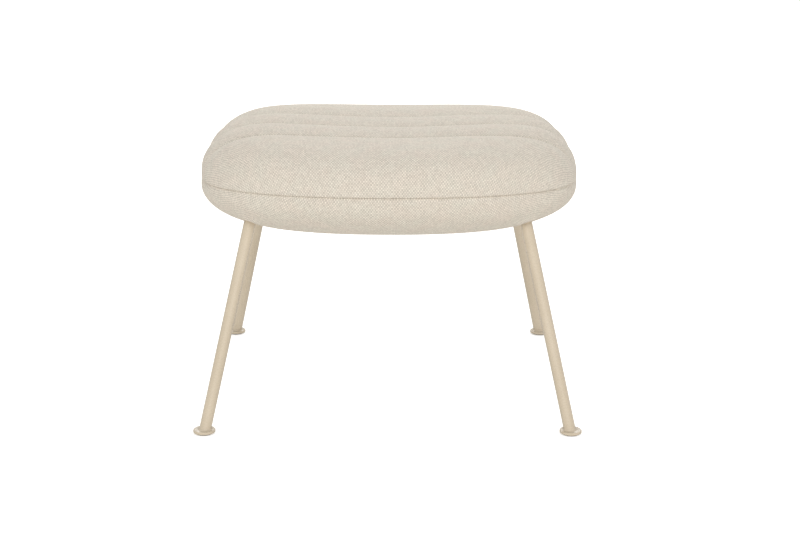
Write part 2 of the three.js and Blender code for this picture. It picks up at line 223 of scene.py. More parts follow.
print("floor", 2 * floor_half, "metres wide")

# %% The lights
# name, place, width, height, power, colour
soft_boxes = [
    ("low_front_box", (0, -2.6, 0.35), 3.0, 0.6, 9, (1.0, 0.98, 0.95)),
    ("high_front_box", (0, -2.4, 2.3), 2.4, 1.2, 20, (1.0, 0.985, 0.965)),
    ("back_box", (0, 2.6, 1.9), 2.4, 1.2, 38, (1.0, 1.0, 1.0)),
]
aim_height = 0.25
light_aim = Vector((0, 0, aim_height))
sky_strength = 0.69
sky_colour = (1.0, 1.0, 1.0, 1)


def add_soft_box(name, place, width, height, power, colour):
    data = bpy.data.lights.new(name, "AREA")
    data.shape = "RECTANGLE"
    data.size = width
    data.size_y = height
    data.energy = power
    data.color = colour
    light = add_object(name, data)
    light.location = place
    light.rotation_euler = (light_aim - Vector(place)).to_track_quat("-Z", "Y").to_euler()


def light_studio():
    for box in soft_boxes:
        add_soft_box(*box)
    world = bpy.data.worlds.new("studio")
    world.use_nodes = True
    g = Graph(world.node_tree)
    background = world.node_tree.nodes["Background"]
    seen = g.node("ShaderNodeLightPath").outputs["Is Camera Ray"]
    g.feed(background.inputs["Color"], sky_colour)
    g.feed(background.inputs["Strength"], g.math("MULTIPLY_ADD", seen, camera_glow, sky_strength))
    bpy.context.scene.world = world
    bpy.context.scene.view_settings.view_transform = "Standard"


light_studio()
print("soft boxes", len(soft_boxes))

# %% [markdown]
# ## The outline and the crown
#
# Upholsterers cut foam to a template. This cushion's template is a superellipse: nearly straight at
# the front and back, fuller at the sides, with soft corners. The crown rises from its edge on another
# such curve. Formulas like these give every seam and cover the same surface, so that they meet, and
# their slopes tell which way is out of the fabric.

# %% Sizes of the cushion
touch_gap = 0.0003
cloth_gap = 0.0002
half_gap = cloth_gap / 2
tiny = 1e-6
band_low, band_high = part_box("cover_lower_band")
board_low, board_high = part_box("seat_board")
half_width = band_high.x
half_depth = band_high.y
underside_z = band_low.z
cushion_thickness = 0.134
seam_rise = 0.065
crown_z = underside_z + cushion_thickness
seam_z = underside_z + seam_rise
crown_dish = 0.008
dish_half_width = 0.204
channel_width = 0.083
middle_seam_y = -0.017
seam_ys = [middle_seam_y + step * channel_width for step in (-1, 0, 1)]
side_power = 2.2
front_power = 4.1
crown_power = 6.4
crown_root = 1.9
dish_power = 1.5
edge_power = 8
tuck_power = 1.1
tuck_root = 2.7
print("cushion", round(2 * half_width, 4), round(2 * half_depth, 4), round(underside_z, 4))

# %% The plan outline
halvings = 44


def outline_point(angle):
    across = np.cos(angle)
    along = np.sin(angle)
    x = half_width * np.sign(across) * np.abs(across) ** (2 / side_power)
    y = half_depth * np.sign(along) * np.abs(along) ** (2 / front_power)
    return x, y


def reach_share(x, y):
    """How far out plan points lie: 0 in the middle, 1 on the outline. Found by halving."""
    inside = np.full(np.shape(x), tiny)
    outside = np.full(np.shape(x), 2.0)
    for _ in range(halvings):
        middle = (inside + outside) / 2
        across = np.abs(x / (half_width * middle)) ** side_power
        along = np.abs(y / (half_depth * middle)) ** front_power
        short = across + along > 1
        inside = np.where(short, middle, inside)
        outside = np.where(short, outside, middle)
    return np.minimum(outside, 1)


def outline_slope(x, y):
    """Which way is outwards in plan: the gradient of the share above."""
    reach = np.maximum(reach_share(x, y), tiny)
    edge_x = x / reach
    edge_y = y / reach
    across = side_power / half_width * np.abs(edge_x / half_width) ** (side_power - 1)
    along = front_power / half_depth * np.abs(edge_y / half_depth) ** (front_power - 1)
    slope_x = across * np.sign(edge_x)
    slope_y = along * np.sign(edge_y)
    scale = np.maximum(edge_x * slope_x + edge_y * slope_y, tiny)
    return slope_x / scale, slope_y / scale


def edge_direction(x, y):
    slope_x, slope_y = outline_slope(x, y)
    length = np.maximum(np.hypot(slope_x, slope_y), tiny)
    return slope_x / length, slope_y / length


# %% Half widths along the cushion
def half_width_at(y):
    return half_width * (1 - np.abs(y / half_depth) ** front_power) ** (1 / side_power)


print("half width at the middle seam", round(float(half_width_at(middle_seam_y)), 4))


# %% The crown and its direction out of the fabric
def smooth_share(value):
    value = np.clip(value, 0, 1)
    return value * value * (3 - 2 * value)


def unit(vectors):
    return vectors / np.maximum(np.linalg.norm(vectors, axis=-1, keepdims=True), tiny)


def crown_height(x, y, reach=None):
    reach = reach_share(x, y) if reach is None else reach
    edge = seam_z + half_gap
    rise = np.maximum(1 - reach**crown_power, 0) ** (1 / crown_root)
    dish = crown_dish * np.maximum(1 - (x / dish_half_width) ** 2, 0) ** dish_power
    return edge + (crown_z - edge) * rise - dish * (1 - reach**edge_power)


def crown_outward(x, y):
    reach = reach_share(x, y)
    slope_x, slope_y = outline_slope(x, y)
    level = np.maximum(1 - reach**crown_power, 0)
    steep = crown_power * reach ** (crown_power - 1)
    lift = crown_root * level ** ((crown_root - 1) / crown_root) / (crown_z - seam_z)
    return unit(np.stack([steep * slope_x, steep * slope_y, lift], -1))


middle_of_top = [np.zeros(1), np.zeros(1)]
print("height of the middle", round(float(crown_height(*middle_of_top)[0]), 4))


# %% The tucked-under lower side
flat_share = max(board_high.x / half_width, board_high.y / half_depth)


def climb_share(share):
    """0 on the flat underside, and 1 on the outline."""
    return np.maximum((share - flat_share) / (1 - flat_share), 0)


def tuck_height(share, bottom):
    fall = np.maximum(1 - climb_share(share) ** tuck_power, 0) ** (1 / tuck_root)
    edge = seam_z - half_gap
    return edge - (edge - bottom) * fall


print("flat part of the underside", round(flat_share, 4))

# %% [markdown]
# ## How the cloth lies
#
# A weave shows how its cloth was pulled. On top the yarns run straight across and straight back. Down
# the sides the cloth turns and keeps its own length, so a point's place in the cloth is its plan place
# plus the extra length that the turn has used, in the direction that the edge faces. At the corners
# that puts the cloth on its bias, and the weave fans out there as it does in the photograph.

# %% Extra cloth used by the turn over the edge
ray_steps = 60


def extra_cloth(x, y, height_at):
    """Arc length less plan length, from the middle out to each point, along a straight ray."""
    shares = np.sin(np.linspace(0, math.pi / 2, ray_steps))
    whole = reach_share(x, y)[..., None]
    reach = whole * shares
    edge_x = x[..., None] / np.maximum(whole, tiny)
    edge_y = y[..., None] / np.maximum(whole, tiny)
    heights = height_at(edge_x * reach, edge_y * reach, reach)
    plan_steps = np.diff(reach, axis=-1) * np.hypot(edge_x, edge_y)
    return np.sum(np.hypot(plan_steps, np.diff(heights, axis=-1)) - plan_steps, axis=-1)


def cloth_place(x, y, height_at):
    extra = extra_cloth(x, y, height_at)
    way_x, way_y = edge_direction(x, y)
    return np.stack([x + extra * way_x, y + extra * way_y], -1)


def running_length(x, y):
    """The length along a line of points, at each point."""
    return np.concatenate([[0], np.cumsum(np.hypot(np.diff(x), np.diff(y)))])


side_point = [np.array([half_width]), np.zeros(1)]
print("extra cloth over the side", round(float(extra_cloth(*side_point, crown_height)[0]), 4))

# %% [markdown]
# ## Meshes from rows of points
#
# All the sewn covers, tubes and beads are grids of points. These helpers turn a grid into a piece, with
# its place in the cloth as a UV map, and close it into a shell, a capped tube or a ring. Shading runs
# smoothly over gentle turns and breaks at real edges, such as the cut end of a tube.

# %% Pieces from grids
sharp_turn = math.radians(40)
merge_distance = 1e-6
shortest_edge = 1e-7


def place_piece(name, mesh, replaced=None):
    piece = add_object(name, mesh)
    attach(piece, "root")
    if replaced:
        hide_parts(replaced)
    return piece


def new_piece(name, points, faces, replaced=None, uv=None):
    mesh = bpy.data.meshes.new(name)
    mesh.from_pydata([tuple(point) for point in points], [], faces)
    if uv is not None:
        layer = mesh.uv_layers.new(name="cloth")
        corners = np.zeros(len(mesh.loops), np.int32)
        mesh.loops.foreach_get("vertex_index", corners)
        layer.data.foreach_set("uv", np.asarray(uv, np.float32)[corners].ravel())
    edit = bmesh.new()
    edit.from_mesh(mesh)
    bmesh.ops.remove_doubles(edit, verts=edit.verts, dist=merge_distance)
    bmesh.ops.dissolve_degenerate(edit, edges=edit.edges, dist=shortest_edge)
    edit.to_mesh(mesh)
    edit.free()
    mesh.polygons.foreach_set("use_smooth", [True] * len(mesh.polygons))
    mesh.set_sharp_from_angle(angle=sharp_turn)
    return place_piece(name, mesh, replaced)


# %% Faces of grids
def grid_faces(rows, columns, start=0, wrap=False):
    faces = []
    across = columns if wrap else columns - 1
    for i in range(rows - 1):
        for j in range(across):
            a = start + i * columns + j
            b = start + i * columns + (j + 1) % columns
            faces.append((a, b, b + columns, a + columns))
    return faces


def shell_faces(rows, columns):
    """Outer grid, inner grid turned over, and the strip that joins their four edges."""
    size = rows * columns
    inner = [face[::-1] for face in grid_faces(rows, columns, start=size)]
    faces = grid_faces(rows, columns) + inner
    front = list(range(columns))
    right = [i * columns + columns - 1 for i in range(rows)]
    rear = [(rows - 1) * columns + j for j in reversed(range(columns))]
    left = [i * columns for i in reversed(range(rows))]
    border = front + right[1:] + rear[1:] + left[1:]
    return faces + [(b, a, a + size, b + size) for a, b in zip(border, border[1:])]


def tube_faces(rows, columns):
    """Rings joined into a tube, with a cap at each end."""
    last = (rows - 1) * columns
    caps = [tuple(reversed(range(columns))), tuple(range(last, last + columns))]
    return grid_faces(rows, columns, wrap=True) + caps


def ring_faces(rows, columns):
    """Rings joined into a tube that runs back into its own start."""
    last = (rows - 1) * columns
    pairs = [(j, (j + 1) % columns) for j in range(columns)]
    return grid_faces(rows, columns, wrap=True) + [(last + a, last + b, b, a) for a, b in pairs]


def tube_piece(name, rings, replaced=None):
    points = [point for ring in rings for point in ring]
    return new_piece(name, points, tube_faces(len(rings), len(rings[0])), replaced)


# %% [markdown]
# ## Where the legs go in
#
# The straight legs run up through the underside of the cushion to rails inside it. The fabric is cut
# for them. Close to a leg it is pinched in, and in front of a front leg and behind a rear one a soft
# lip of it stands out and hides the cut.

# %% Leg lines
tube_radius = 0.008
corner_inset = 0.006
pinch_depth = 0.0016
pinch_reach = 0.004
lip_depth = 0.0030
lip_place = 0.009
lip_reach = 0.008
disc_low, disc_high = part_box("foot_disc_front_right")
_, frame_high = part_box("side_frame_right")
foot_x = (disc_low.x + disc_high.x) / 2
foot_y = -(disc_low.y + disc_high.y) / 2
disc_top = disc_high.z
rail_z = frame_high.z - tube_radius
rail_x = board_high.x + tube_radius + touch_gap
corner_y = board_high.y - corner_inset
ends_named = [("front", -1), ("rear", 1)]
sides_named = [("left", -1), ("right", 1)]
corners_named = [(f"{end}_{side}", sx, sy) for end, sy in ends_named for side, sx in sides_named]


def foot_point(sx, sy):
    return Vector((sx * foot_x, sy * foot_y, 0))


def corner_point(sx, sy):
    return Vector((sx * rail_x, sy * corner_y, rail_z))


def leg_direction(sx, sy):
    return (corner_point(sx, sy) - foot_point(sx, sy)).normalized()


def leg_pull(points):
    """How far the legs draw the fabric in. The lips, which stand out, count as less than nothing."""
    pull = np.zeros(points.shape[:-1])
    for _, sx, sy in corners_named:
        way = np.array(leg_direction(sx, sy))
        away = points - np.array(foot_point(sx, sy))
        square = away - (away @ way)[..., None] * way
        length = np.maximum(np.linalg.norm(square, axis=-1), tiny)
        facing = sy * square[..., 1] / length
        outside = np.maximum(length - tube_radius, 0)
        pinch = np.exp(-((outside / pinch_reach) ** 2))
        lip = np.exp(-(((outside - lip_place) / lip_reach) ** 2)) * smooth_share(facing)
        pull += pinch_depth * pinch - lip_depth * lip
    return pull


print("legs", round(foot_x, 4), round(foot_y, 4), "rails", round(rail_x, 4), round(rail_z, 4))

# %% [markdown]
# ## Seams, channels and puckers
#
# Each channel is a strip of cover sewn to its neighbour over soft wadding. It rises as a pillow from
# seam to seam, and within a few millimetres of the stitches it rolls down sharply. The thread pulls
# small puckers into it. All of this moves the fabric inwards along its own direction, so that the
# channels run on down the sides and into the perimeter seam. No cushion is stuffed quite evenly: the
# right side is a little fuller than the left.

# %% Sizes of seams and stuffing
pillow_depth = 0.008
roll_depth = 0.0042
roll_width = 0.0065
edge_roll_depth = 0.0030
edge_roll_width = 0.0036
fade_length = 0.030
side_seam_share = 0.04
full_seam_facing = 0.5
side_pillow_share = 0.2
side_roll_share = 0.75
pucker_depth = 0.0005
pucker_length = 0.011
pucker_reach = 0.012
pucker_start = 0.003
unevenness = 0.0007
uneven_length = 0.085
top_fullness = 0.0008
right_fullness = 0.0025
right_start = 0.65
side_dip_depth = 0.0025
side_dip_reach = 0.012
edge_seed = 5
channel_seed = 9
uneven_seed = 2
seed_steps = (3.7, 1.3, 7.1)


# %% How far the fabric is drawn in
def quarter_round(distance, width):
    """1 on the seam, and 0 from one width away, falling like a quarter circle."""
    near = 1 - np.clip(distance / width, 0, 1)
    return 1 - np.sqrt(np.maximum(1 - near**2, 0))


def field(points, length, seed):
    """Smooth random values between about -1 and 1, the same on every run."""
    flat = points.reshape(-1, 3)
    offset = Vector([seed * step for step in seed_steps])
    values = [noise.noise(Vector(point) / length + offset) for point in flat.tolist()]
    return np.array(values).reshape(points.shape[:-1])


def part_way(low_share, value):
    """From a low share up to 1, as the value goes from 0 to 1."""
    return low_share + (1 - low_share) * smooth_share(value)


def lean_right(points):
    """The cushion is stuffed a little fuller on its right side, from the tuck up to the top."""
    side_share = smooth_share((points[..., 0] / half_width - right_start) / (1 - right_start))
    height_share = (points[..., 2] - underside_z) / seam_rise
    return right_fullness * side_share * smooth_share(height_share)


def channel_pull(points, edge_fade):
    """The pillow between two channel seams, the roll beside them, and the fullness of the top."""
    near = np.min([np.abs(points[..., 1] - seam_y) for seam_y in seam_ys], axis=0)
    level = np.abs(crown_outward(points[..., 0], points[..., 1])[..., 2])
    pillow = (1 - np.clip(near / (channel_width / 2), 0, 1)) ** 2
    pull = pillow_depth * pillow * part_way(side_pillow_share, level)
    pull = pull + roll_depth * quarter_round(near, roll_width) * part_way(side_roll_share, level)
    puckers = np.exp(-near / pucker_reach) * field(points, pucker_length, channel_seed)
    return (pull - top_fullness) * edge_fade, puckers


def drawn_in(points, to_edge, channelled):
    """Depth of the perimeter seam, the channels, the puckers and the soft unevenness."""
    edge_fade = smooth_share(to_edge / fade_length)
    _, facing = edge_direction(points[..., 0], points[..., 1])
    tight = part_way(side_seam_share, np.abs(facing) / full_seam_facing)
    pull = edge_roll_depth * tight * quarter_round(to_edge, edge_roll_width) - lean_right(points)
    pull = pull + side_dip_depth * (1 - tight) * np.exp(-((to_edge / side_dip_reach) ** 2))
    puckers = np.exp(-to_edge / pucker_reach) * field(points, pucker_length, edge_seed)
    if channelled:
        channel, channel_puckers = channel_pull(points, edge_fade)
        pull = pull + channel
        puckers = puckers + channel_puckers
    pull = pull + pucker_depth * puckers * smooth_share(to_edge / pucker_start)
    return pull + unevenness * field(points, uneven_length, uneven_seed) * edge_fade


# %% [markdown]
# ## The four channel covers
#
# Rows run along each channel from the left side to the right, and are spread by their real length over
# the surface, closer together at the seams. The front and rear channels end in the curved outline. The
# inner face of each shell lies against the foam.

# %% Rows across a channel
cover_columns = 200
middle_rows = 34
end_rows = 64
line_steps = 500
out_steps = 400
arc_steps = 3000
column_crowding = 0.8
middle_crowding = 0.85
end_crowding = 0.9


def crowded(count, strength):
    """Shares from 0 to 1 that crowd towards both ends."""
    even = np.linspace(0, 1, count)
    return (1 - strength) * even + strength * (0.5 - 0.5 * np.cos(math.pi * even))


def respaced(line_x, line_y, shares):
    """Points of plan lines, spread by their length over the crown. Lines run along the last axis."""
    heights = crown_height(line_x, line_y)
    new_x = np.empty((len(line_x), len(shares)))
    new_y = np.empty_like(new_x)
    for i in range(len(line_x)):
        plan_steps = np.hypot(np.diff(line_x[i]), np.diff(line_y[i]))
        lengths = np.concatenate([[0], np.cumsum(np.hypot(plan_steps, np.diff(heights[i])))])
        at = shares * max(lengths[-1], tiny)
        new_x[i] = np.interp(at, lengths, line_x[i])
        new_y[i] = np.interp(at, lengths, line_y[i])
    return new_x, new_y


print("channel columns", cover_columns, "rows", middle_rows, end_rows)


# %% The channels' plan points
def channel_row(y):
    """Plan points from the left end to the right end of a line across the cushion."""
    sweep = np.sin(np.linspace(-math.pi / 2, math.pi / 2, line_steps))
    line_x = half_width_at(y) * sweep
    rows = respaced(line_x[None], np.full_like(line_x, y)[None], crowded(cover_columns, column_crowding))
    return rows[0][0], rows[1][0]


def middle_channel(front_y, rear_y):
    ys = front_y + (rear_y - front_y) * crowded(middle_rows, middle_crowding)
    rows = [channel_row(y) for y in ys]
    return np.array([x for x, _ in rows]), np.array([y for _, y in rows])


def end_channel(seam_y, side):
    """From a channel seam out to the front (side -1) or the rear (side 1) of the outline."""
    seam_x, seam_line_y = channel_row(seam_y)
    turn = np.arcsin(np.abs(seam_y / half_depth) ** (front_power / 2)) * np.sign(side * seam_y)
    arc_x, arc_y = outline_point(np.linspace(math.pi - turn, turn, arc_steps))
    lengths = running_length(arc_x, arc_y)
    even = np.linspace(0, lengths[-1], cover_columns)
    arc_x = np.interp(even, lengths, arc_x)
    arc_y = side * np.interp(even, lengths, arc_y)
    out = np.sin(np.linspace(0, math.pi / 2, out_steps))
    line_x = seam_x[:, None] + (arc_x - seam_x)[:, None] * out
    line_y = seam_line_y[:, None] + (arc_y - seam_line_y)[:, None] * out
    x, y = respaced(line_x, line_y, crowded(end_rows, end_crowding))
    return x.T[::side], y.T[::side]


# %% Sew one channel
cover_thickness = 0.005
channel_depth = 0.008


def length_to_edge(x, y):
    """Length over the surface from each point to the perimeter seam, along a straight ray."""
    reach = np.maximum(reach_share(x, y), tiny)
    whole = extra_cloth(x / reach, y / reach, crown_height)
    part = extra_cloth(x, y, crown_height)
    return whole - part + np.hypot(x, y) * (1 / reach - 1)


def channel_shell(x, y):
    base = np.stack([x, y, crown_height(x, y)], -1)
    outward = crown_outward(x, y)
    pull = drawn_in(base, length_to_edge(x, y), channelled=True)
    depth = cover_thickness + channel_depth * (1 - reach_share(x, y) ** edge_power)
    outer = base - outward * pull[..., None]
    inner = base - outward * np.maximum(depth, pull + touch_gap)[..., None]
    return np.stack([outer, inner])


def sew_channel(place, x, y):
    """place is the word that the packed solid's name ends in."""
    points = channel_shell(x, y).reshape(-1, 3)
    cloth = cloth_place(x, y, crown_height).reshape(-1, 2)
    faces = shell_faces(*x.shape)
    node = f"cover_channel_{place}"
    uv = np.concatenate([cloth, cloth])
    piece = new_piece(f"quilted_channel_{place}", points, faces, node, uv)
    return piece


front_seam, middle_seam, rear_seam = seam_ys
covers = [
    sew_channel("front", *end_channel(front_seam - half_gap, -1)),
    sew_channel("front_middle", *middle_channel(front_seam + half_gap, middle_seam - half_gap)),
    sew_channel("rear_middle", *middle_channel(middle_seam + half_gap, rear_seam - half_gap)),
    sew_channel("rear", *end_channel(rear_seam + half_gap, 1)),
]
print("channel covers", [len(piece.data.polygons) for piece in covers])

# %% [markdown]
# ## The lower band
#
# The lower cover is one piece of cloth. It hangs from the perimeter seam, is pulled in under the board
# and ends in a thin flat hem, stapled to the board and hidden by the dust cover. At the corners the
# cloth is gathered, so the hem has small pleats there.

# %% Sizes of the lower band
band_steps = 560
band_rows = 44
hem_rows = 8
outline_steps = 6001
hem_thickness = 0.0015
hem_width = 0.030
climb_crowding = 1.15
pull_start = 0.2
pleat_depth = 0.0009
pleat_count = 96
pleat_end = 0.5
pleat_wander = 2
pleat_length = 0.09
pleat_seed = 4
hem_share = flat_share - hem_width / half_width
print("the hem starts at", round(hem_share, 4), "of the outline")


# %% Rings of the lower band
def even_outline(steps):
    """Points of the outline at equal distances, so that the corners are as fine as the sides."""
    x, y = outline_point(np.linspace(0, 2 * math.pi, outline_steps))
    lengths = running_length(x, y)
    even = np.linspace(0, lengths[-1], steps, endpoint=False)
    return np.interp(even, lengths, x), np.interp(even, lengths, y)


def band_shares():
    climbs = np.sin(np.linspace(0, math.pi / 2, band_rows)) ** climb_crowding
    flat = np.linspace(hem_share, flat_share, hem_rows, endpoint=False)
    return np.concatenate([flat, flat_share + (1 - flat_share) * climbs])


def corner_share(x, y):
    """1 in the corners of the outline and 0 along its sides."""
    way_x, way_y = edge_direction(x, y)
    return np.sin(2 * np.arctan2(np.abs(way_y), np.abs(way_x))) ** 2


def gathered(base, edge_x, edge_y, climb):
    """Pleats of the hem, which wander a little and fade out where the band starts to climb."""
    wander = pleat_wander * field(base, pleat_length, pleat_seed)
    turn = np.arctan2(edge_y, edge_x) * pleat_count + wander
    pleats = np.maximum(np.sin(turn), 0) * corner_share(edge_x, edge_y)
    return pleat_depth * pleats * (1 - smooth_share(climb / pleat_end))


def band_grids():
    edge_x, edge_y = even_outline(band_steps)
    shares = np.repeat(band_shares()[:, None], band_steps, axis=1)
    x = edge_x * shares
    y = edge_y * shares
    climb = climb_share(shares)
    base = np.stack([x, y, tuck_height(shares, underside_z)], -1)
    around = np.roll(base, -1, axis=1) - np.roll(base, 1, axis=1)
    outward = unit(np.cross(around, np.gradient(base, axis=0)))
    lengths = np.linalg.norm(np.diff(base, axis=0), axis=-1)
    to_edge = np.concatenate([np.cumsum(lengths[::-1], axis=0)[::-1], np.zeros((1, band_steps))])
    pull = drawn_in(base, to_edge, channelled=False) * smooth_share(climb / pull_start)
    outer = base - outward * (pull + leg_pull(base))[..., None]
    outer[..., 2] += gathered(base, edge_x, edge_y, climb)
    shrink = 1 - cover_thickness * climb / half_width
    inner = np.stack([x * shrink, y * shrink, tuck_height(shares, underside_z + hem_thickness)], -1)
    inner[-1] = base[-1] - outward[-1] * cover_thickness
    return x, y, np.concatenate([outer, inner[::-1]])


# %% Sew the lower band
def band_ray(x, y, reach):
    """The height of the band along a ray, for the length of its cloth."""
    return tuck_height(reach, underside_z)


def sew_band():
    x, y, rings = band_grids()
    cloth = cloth_place(x, y, band_ray)
    uv = np.concatenate([cloth, cloth[::-1]]).reshape(-1, 2)
    faces = ring_faces(len(rings), band_steps)
    points = rings.reshape(-1, 3)
    piece = new_piece("lower_band", points, faces, "cover_lower_band", uv)
    return piece


lower_band = sew_band()
covers.append(lower_band)
print("lower band", len(lower_band.data.polygons))

# %% [markdown]
# ## The foam inside
#
# The moulded foam can't be seen, but it fills the covers, wraps the edge of the board and is what the
# covers are stretched over. It is swept round the outline like the band, and closed at the top and
# round the board.

# %% Mould the foam
foam_clearance = 0.002
foam_steps = 160
foam_rows = 22
hub_share = 0.02
last_climb = 1.5


def mould_foam():
    edge_x, edge_y = even_outline(foam_steps)
    inset = cover_thickness + foam_clearance
    pocket_x = edge_x / half_width * (board_high.x + foam_clearance)
    pocket_y = edge_y / half_depth * (board_high.y + foam_clearance)
    pocket_top = np.full(foam_steps, board_high.z + touch_gap)
    pocket_low = np.full(foam_steps, board_low.z)
    rings = [(pocket_x * hub_share, pocket_y * hub_share, pocket_top)]
    rings += [(pocket_x, pocket_y, pocket_top), (pocket_x, pocket_y, pocket_low)]
    for climb in np.sin(np.linspace(0, last_climb, foam_rows))[1:]:
        share = flat_share + (1 - flat_share) * climb
        height = np.full(foam_steps, tuck_height(share, board_low.z))
        squeeze = share * (1 - inset * climb / half_width)
        rings.append((edge_x * squeeze, edge_y * squeeze, height))
    shrink = 1 - inset / half_width
    for share in np.sin(np.linspace(math.pi / 2, hub_share, foam_rows)):
        fall = (inset + channel_depth) * (1 - share**crown_power) ** (1 / crown_root)
        height = crown_height(edge_x * share, edge_y * share) - fall
        rings.append((edge_x * share * shrink, edge_y * share * shrink, height))
    piece = tube_piece("moulded_foam", [np.stack(ring, -1) for ring in rings], "foam_core")
    return piece


foam = mould_foam()
print("foam", len(foam.data.polygons))

# %% [markdown]
# ## Bent tubes
#
# Each side of the frame is one tube, bent twice on a mandrel bender, which keeps it round. It leans
# out, so both legs splay two ways. A curve with a bevel could make it, but its ends have to be mitred
# flat to the foot discs, so the rings are placed in code and the last ones are slid onto the cut.

# %% Sweep a tube
bend_radius = 0.018
tube_sides = 48
bend_rings = 20


def bend_stations(before, corner, after):
    """Places and directions along a round bend between two straight runs."""
    back = (before - corner).normalized()
    onward = (after - corner).normalized()
    half_angle = back.angle(onward) / 2
    axis = onward.cross(back).normalized()
    start = corner + back * (bend_radius / math.tan(half_angle))
    centre = corner + (back + onward).normalized() * (bend_radius / math.sin(half_angle))
    stations = []
    for i in range(bend_rings + 1):
        spin = Matrix.Rotation((math.pi - 2 * half_angle) * i / bend_rings, 3, axis)
        stations.append((centre + spin @ (start - centre), -(spin @ back)))
    return stations


def ring_at(point, direction, radius, sides, start_side):
    """A ring of points square to the tube, started from the same side all the way along."""
    first = (start_side - direction * start_side.dot(direction)).normalized()
    second = direction.cross(first)
    turns = [2 * math.pi * i / sides for i in range(sides)]
    return [point + (first * math.cos(turn) + second * math.sin(turn)) * radius for turn in turns]


def cut_level(ring, direction, height):
    """Slides a ring's points along the tube until they lie on a level cut."""
    return [point + direction * ((height - point.z) / direction.z) for point in ring]


def bend_tube(side_name, side):
    front_foot, rear_foot = foot_point(side, -1), foot_point(side, 1)
    front_corner, rear_corner = corner_point(side, -1), corner_point(side, 1)
    bends = bend_stations(front_foot, front_corner, rear_corner)
    bends += bend_stations(front_corner, rear_corner, rear_foot)
    stations = [(front_foot, bends[0][1]), *bends, (rear_foot, bends[-1][1])]
    across = Vector((side, 0, 0))
    rings = [ring_at(point, way, tube_radius, tube_sides, across) for point, way in stations]
    for end in (0, -1):
        rings[end] = cut_level(rings[end], stations[end][1], disc_top + touch_gap)
    return tube_piece(f"bent_tube_{side_name}", rings, f"side_frame_{side_name}")


tubes = [bend_tube(side_name, side) for side_name, side in sides_named]
print("tubes", [len(piece.data.polygons) for piece in tubes])

# %% [markdown]
# ## Feet
#
# Each leg ends on a turned steel disc with softly broken edges, over a moulded glide that keeps the
# steel off the floor. Turned pieces are profiles swept round an axis. A small fillet of weld joins the
# leg to its disc, ground smooth before the coat went on.

# %% Turn a profile
turned_sides = 72
arc_share = 1 / 2.2
arc_parts = 4


def rounded(profile, radius):
    """A profile whose inner corners are cut to short arcs, about as large as the radius."""
    points = [profile[0]]
    for place in zip(profile, profile[1:], profile[2:]):
        before, corner, after = [Vector(point) for point in place]
        back = before - corner
        onward = after - corner
        reach = min(radius, back.length * arc_share, onward.length * arc_share)
        start = corner + back.normalized() * reach
        end = corner + onward.normalized() * reach
        for i in range(arc_parts + 1):
            share = i / arc_parts
            points.append(tuple(start.lerp(corner, share).lerp(corner.lerp(end, share), share)))
    points.append(profile[-1])
    return points


def turned_piece(name, profile, centre, replaced, shape=None):
    """Sweeps a profile of radius and height round a vertical axis. shape may change a radius by angle."""
    rings = []
    for radius, height in profile:
        rings.append([])
        for i in range(turned_sides):
            angle = 2 * math.pi * i / turned_sides
            real = shape(radius, angle) if shape else radius
            rings[-1].append(centre + Vector((real * math.cos(angle), real * math.sin(angle), height)))
    if profile[0] != profile[-1]:
        return tube_piece(name, rings, replaced)
    points = [point for ring in rings[:-1] for point in ring]
    return new_piece(name, points, ring_faces(len(rings) - 1, turned_sides), replaced)


print("a square corner becomes", arc_parts + 1, "points")

# %% Discs and glides
disc_radius = 0.015
disc_thickness = disc_top - disc_low.z
disc_chamfer = 0.0009
edge_break = 0.0005
glide_low, glide_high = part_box("foot_glide_front_right")
glide_radius = (glide_high.x - glide_low.x) / 2
glide_thickness = glide_high.z
glide_chamfer = glide_thickness / 3
centre_radius = 0.0005

disc_profile = [
    (centre_radius, 0),
    (disc_radius - disc_chamfer / 2, 0),
    (disc_radius, disc_chamfer / 2),
    (disc_radius, disc_thickness - disc_chamfer),
    (disc_radius - disc_chamfer, disc_thickness),
    (centre_radius, disc_thickness),
]
glide_profile = [
    (centre_radius, 0),
    (glide_radius - glide_chamfer, 0),
    (glide_radius, glide_chamfer),
    (glide_radius, glide_thickness),
    (centre_radius, glide_thickness),
]


def turned_at(corner, word, node_word, profile, place, shape=None):
    """A turned piece at one corner, for the solid named likewise. place is that of the rear right one."""
    name, sx, sy = corner
    centre = Vector((sx * place.x, sy * place.y, place.z))
    return turned_piece(f"{word}_{name}", profile, centre, f"{node_word}_{name}", shape)


disc_rim = rounded(disc_profile, edge_break)
glide_rim = rounded(glide_profile, edge_break)
disc_place = Vector((foot_x, foot_y, disc_low.z))
glide_place = Vector((foot_x, foot_y, 0))
discs = []
glides = []
for corner in corners_named:
    discs.append(turned_at(corner, "disc", "foot_disc", disc_rim, disc_place))
    glides.append(turned_at(corner, "glide", "foot_glide", glide_rim, glide_place))
print("feet", len(discs), "glides", len(glides))

# %% Weld the legs to the discs
weld_size = 0.0030
weld_sides = 64
weld_rows = 10
weld_root_share = 0.06


def weld_foot(name, sx, sy):
    """A concave ring of weld: up the leg on one side and out over the disc on the other."""
    way = leg_direction(sx, sy)
    centre = foot_point(sx, sy) + way * (disc_top / way.z)
    ring = ring_at(centre, way, tube_radius, weld_sides, Vector((sx, 0, 0)))
    base = cut_level(ring, way, disc_top)
    points = []
    for row in range(weld_rows + 1):
        angle = math.pi / 2 * row / weld_rows
        out = weld_size * (1 - math.sin(angle))
        up = weld_size * (1 - math.cos(angle))
        for point in base:
            outward = Vector((point.x - centre.x, point.y - centre.y, 0)).normalized()
            points.append(point + outward * out + way * up)
    inside = [point - (point - centre) * weld_root_share for point in base]
    points += [point + way * weld_size for point in inside]
    points += inside
    faces = ring_faces(len(points) // weld_sides, weld_sides)
    return new_piece(f"foot_weld_{name}", points, faces)


